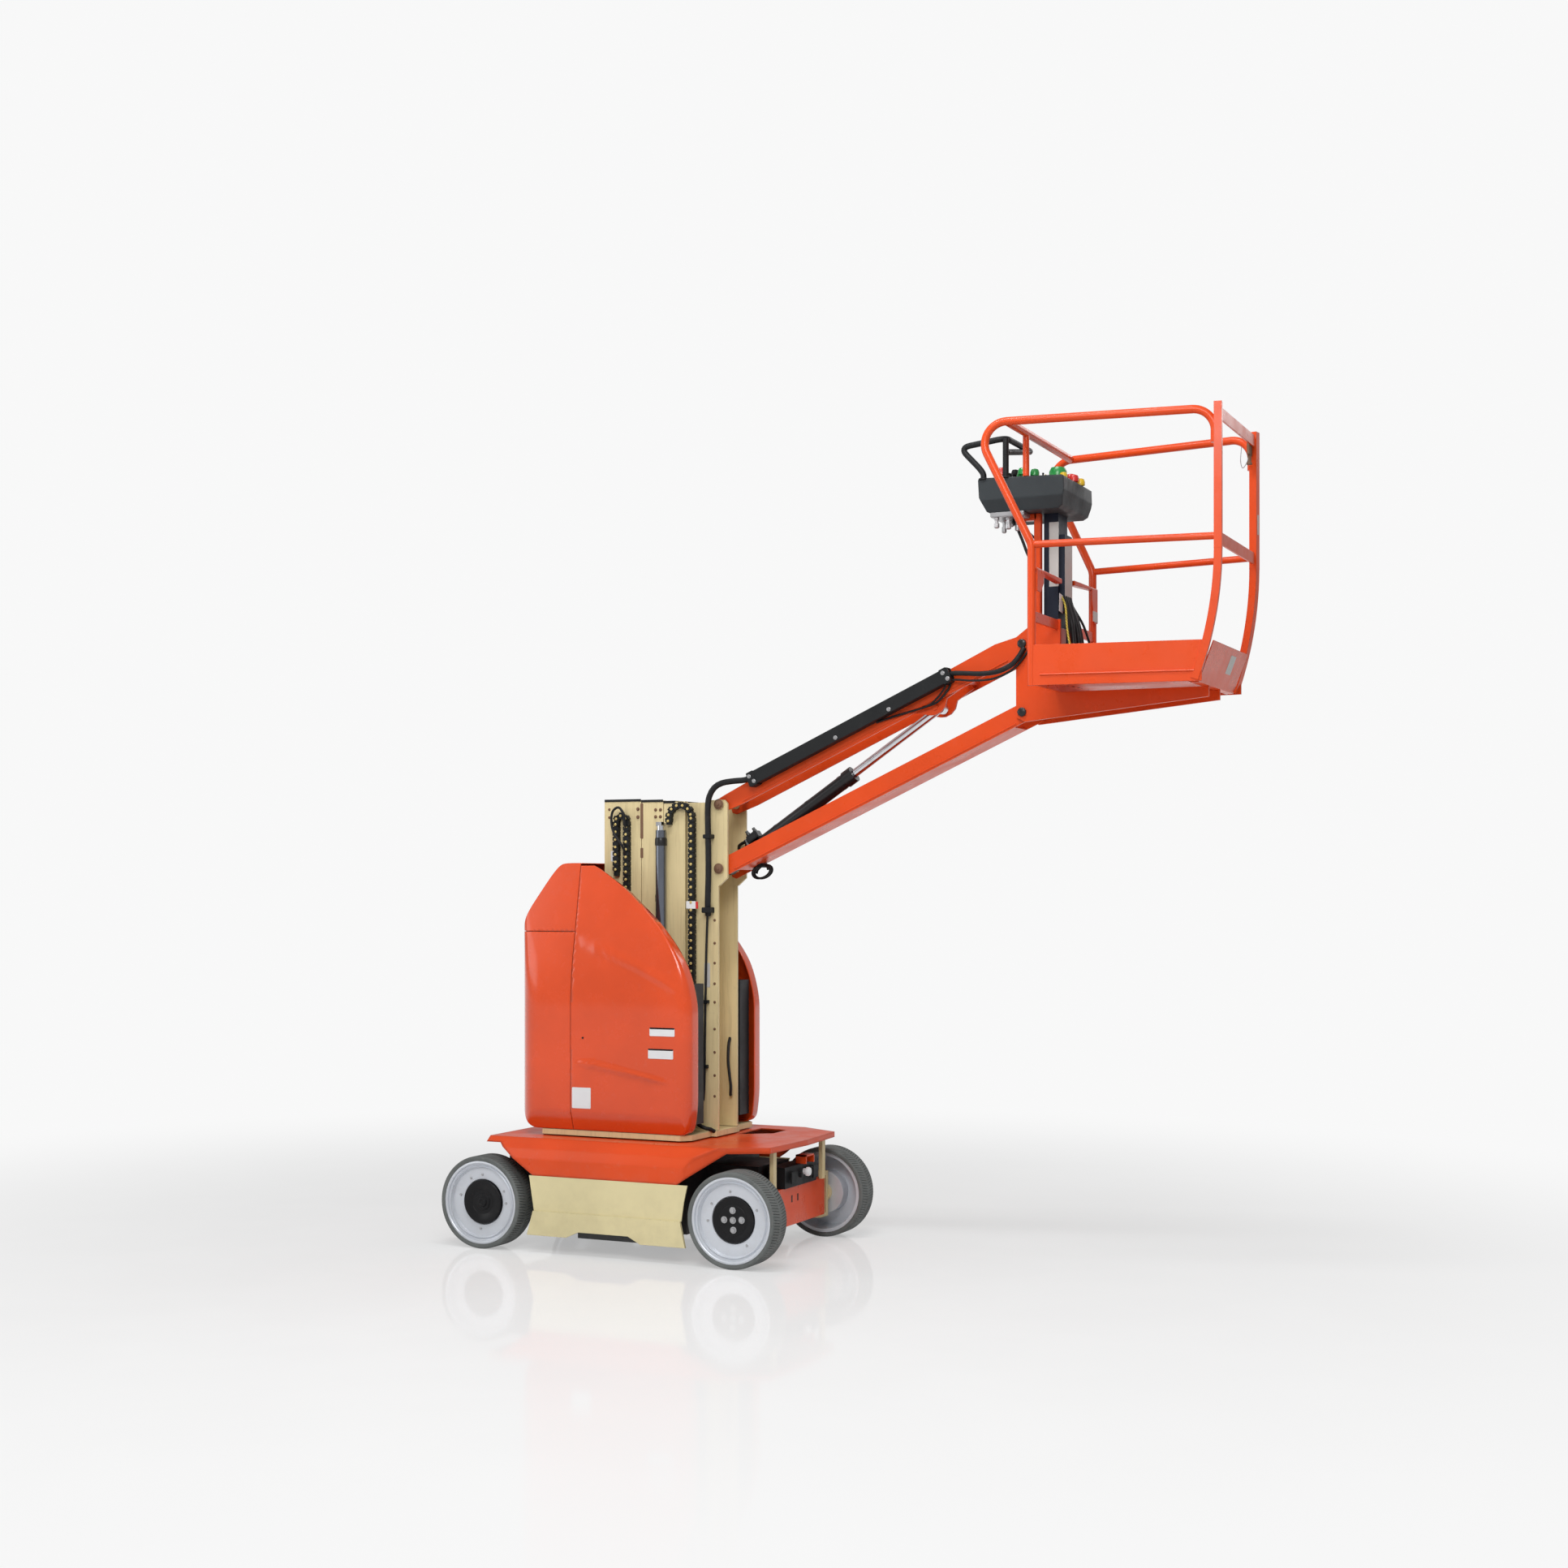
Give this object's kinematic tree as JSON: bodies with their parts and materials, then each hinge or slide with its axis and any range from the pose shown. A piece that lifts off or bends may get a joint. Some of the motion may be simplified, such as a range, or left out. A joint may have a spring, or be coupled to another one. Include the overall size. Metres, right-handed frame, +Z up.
{
  "type": "vertical mast lift",
  "caption": "Self-propelled vertical mast lift: four-wheel chassis, slewing turret with moulded hoods, telescopic mast, parallelogram jib and railed work basket.",
  "frame": {"origin": "on the floor below the slewing axis, midway between the axles", "axes": "+X forward towards the basket, +Y to the left when facing forward, +Z up"},
  "size_m": [3.3823, 1.04, 3.3993],
  "materials": {
    "orange_paint": "gloss",
    "orange_moulding": "gloss",
    "cream_paint": "satin",
    "dark_steel": "satin",
    "black_paint": "satin",
    "black_plastic": "matte",
    "control_plastic": "gloss",
    "chromed_rod": "polished",
    "rim_steel": "satin",
    "tyre_rubber": "matte"
  },
  "bodies": {
    "chassis": {"chassis_frame": "dark_steel", "deck_cover": "orange_moulding", "skirt_near": "cream_paint", "skirt_far": "cream_paint", "belly_pan": "dark_steel", "front_axle_beam": "orange_paint", "front_uprights": "cream_paint", "front_control_box": "black_plastic", "rear_axle": "dark_steel"},
    "knuckle_near": {"knuckle_near": "cream_paint"},
    "knuckle_far": {"knuckle_far": "cream_paint"},
    "wheel_front_near": {"tyre_front_near": "tyre_rubber", "rim_front_near": "rim_steel"},
    "wheel_front_far": {"tyre_front_far": "tyre_rubber", "rim_front_far": "rim_steel"},
    "wheel_rear_near": {"tyre_rear_near": "tyre_rubber", "rim_rear_near": "rim_steel"},
    "wheel_rear_far": {"tyre_rear_far": "tyre_rubber", "rim_rear_far": "rim_steel"},
    "turret": {"turret_base": "cream_paint", "power_block_near": "dark_steel", "power_block_far": "dark_steel", "hood_near": "orange_moulding", "hood_far": "orange_moulding", "rear_cover_lower": "orange_moulding", "rear_cover_upper": "orange_moulding", "mast_fixed": "cream_paint", "cable_chain_rear": "black_plastic"},
    "mast_stage_1": {"mast_stage_1": "cream_paint", "lift_cylinder_barrel": "black_paint"},
    "mast_stage_2": {"mast_stage_2": "cream_paint", "lift_cylinder_rod": "chromed_rod", "cable_chain_front": "black_plastic"},
    "carriage": {"mast_carriage": "cream_paint"},
    "lower_arm": {"jib_lower_arm": "orange_paint"},
    "upper_arm": {"jib_upper_arm": "orange_paint", "hose_guard": "black_plastic"},
    "cylinder_barrel": {"jib_cylinder_barrel": "black_paint"},
    "cylinder_rod": {"jib_cylinder_rod": "chromed_rod"},
    "basket": {"basket_carrier": "orange_paint", "basket_floor": "orange_paint", "basket_side_near": "orange_paint", "basket_side_far": "orange_paint", "basket_rear_frame": "orange_paint", "console_column": "black_plastic", "console": "black_plastic", "console_controls": "control_plastic", "console_guard": "black_plastic"},
    "gate": {"basket_gate": "orange_paint"}
  },
  "joints": [
    {"name": "steer_near", "type": "hinge", "parent": "chassis", "child": "knuckle_near", "pos_m": [0.605, -0.33, 0.2], "axis": [0, 0, 1], "range_deg": [-45, 45]},
    {"name": "steer_far", "type": "hinge", "parent": "chassis", "child": "knuckle_far", "pos_m": [0.605, 0.33, 0.2], "axis": [0, 0, 1], "range_deg": [-45, 45]},
    {"name": "roll_front_near", "type": "hinge", "parent": "knuckle_near", "child": "wheel_front_near", "pos_m": [0.605, -0.4575, 0.2], "axis": [0, 1, 0], "continuous": true},
    {"name": "roll_front_far", "type": "hinge", "parent": "knuckle_far", "child": "wheel_front_far", "pos_m": [0.605, 0.4575, 0.2], "axis": [0, 1, 0], "continuous": true},
    {"name": "roll_rear_near", "type": "hinge", "parent": "chassis", "child": "wheel_rear_near", "pos_m": [-0.605, -0.4575, 0.2], "axis": [0, 1, 0], "continuous": true},
    {"name": "roll_rear_far", "type": "hinge", "parent": "chassis", "child": "wheel_rear_far", "pos_m": [-0.605, 0.4575, 0.2], "axis": [0, 1, 0], "continuous": true},
    {"name": "slew", "type": "hinge", "parent": "chassis", "child": "turret", "pos_m": [0, 0, 0.482], "axis": [0, 0, 1], "range_deg": [-172.5, 172.5]},
    {"name": "mast_1", "type": "slide", "parent": "turret", "child": "mast_stage_1", "axis": [0, 0, 1], "range_m": [0, 1]},
    {"name": "mast_2", "type": "slide", "parent": "mast_stage_1", "child": "mast_stage_2", "axis": [0, 0, 1], "range_m": [0, 1]},
    {"name": "mast_3", "type": "slide", "parent": "mast_stage_2", "child": "carriage", "axis": [0, 0, 1], "range_m": [0, 1]},
    {"name": "jib_lift", "type": "hinge", "parent": "carriage", "child": "upper_arm", "pos_m": [0.341, 0, 1.92], "axis": [0, -1, 0], "range_deg": [-84.6, 45.4]},
    {"name": "jib_parallel", "type": "hinge", "parent": "carriage", "child": "lower_arm", "pos_m": [0.341, 0, 1.643], "axis": [0, -1, 0], "range_deg": [-84.6, 45.4]},
    {"name": "basket_level", "type": "hinge", "parent": "upper_arm", "child": "basket", "pos_m": [1.71122, 0, 2.54733], "axis": [0, -1, 0], "range_deg": [-45.4, 84.6]},
    {"name": "cylinder_tilt", "type": "hinge", "parent": "carriage", "child": "cylinder_barrel", "pos_m": [0.341, 0, 1.643], "axis": [0, -1, 0], "range_deg": [-80.01, 42.98]},
    {"name": "cylinder_stroke", "type": "slide", "parent": "cylinder_barrel", "child": "cylinder_rod", "axis": [0.8284, 0, 0.5601], "range_m": [-0.3219, 0.173]},
    {"name": "gate_swing", "type": "hinge", "parent": "basket", "child": "gate", "pos_m": [2.56222, -0.27667, 2.89333], "axis": [0, 0, 1], "range_deg": [0, 90]}
  ],
  "couplings": [
    {"joint": "steer_far", "follows": "steer_near", "ratio": 1},
    {"joint": "mast_2", "follows": "mast_1", "ratio": 1},
    {"joint": "mast_3", "follows": "mast_1", "ratio": 1},
    {"joint": "jib_parallel", "follows": "jib_lift", "ratio": 1},
    {"joint": "basket_level", "follows": "jib_lift", "ratio": -1},
    {"joint": "cylinder_tilt", "follows": "jib_lift", "ratio": 0.9446},
    {"joint": "cylinder_stroke", "follows": "jib_lift", "m_per_rad": 0.2177}
  ]
}
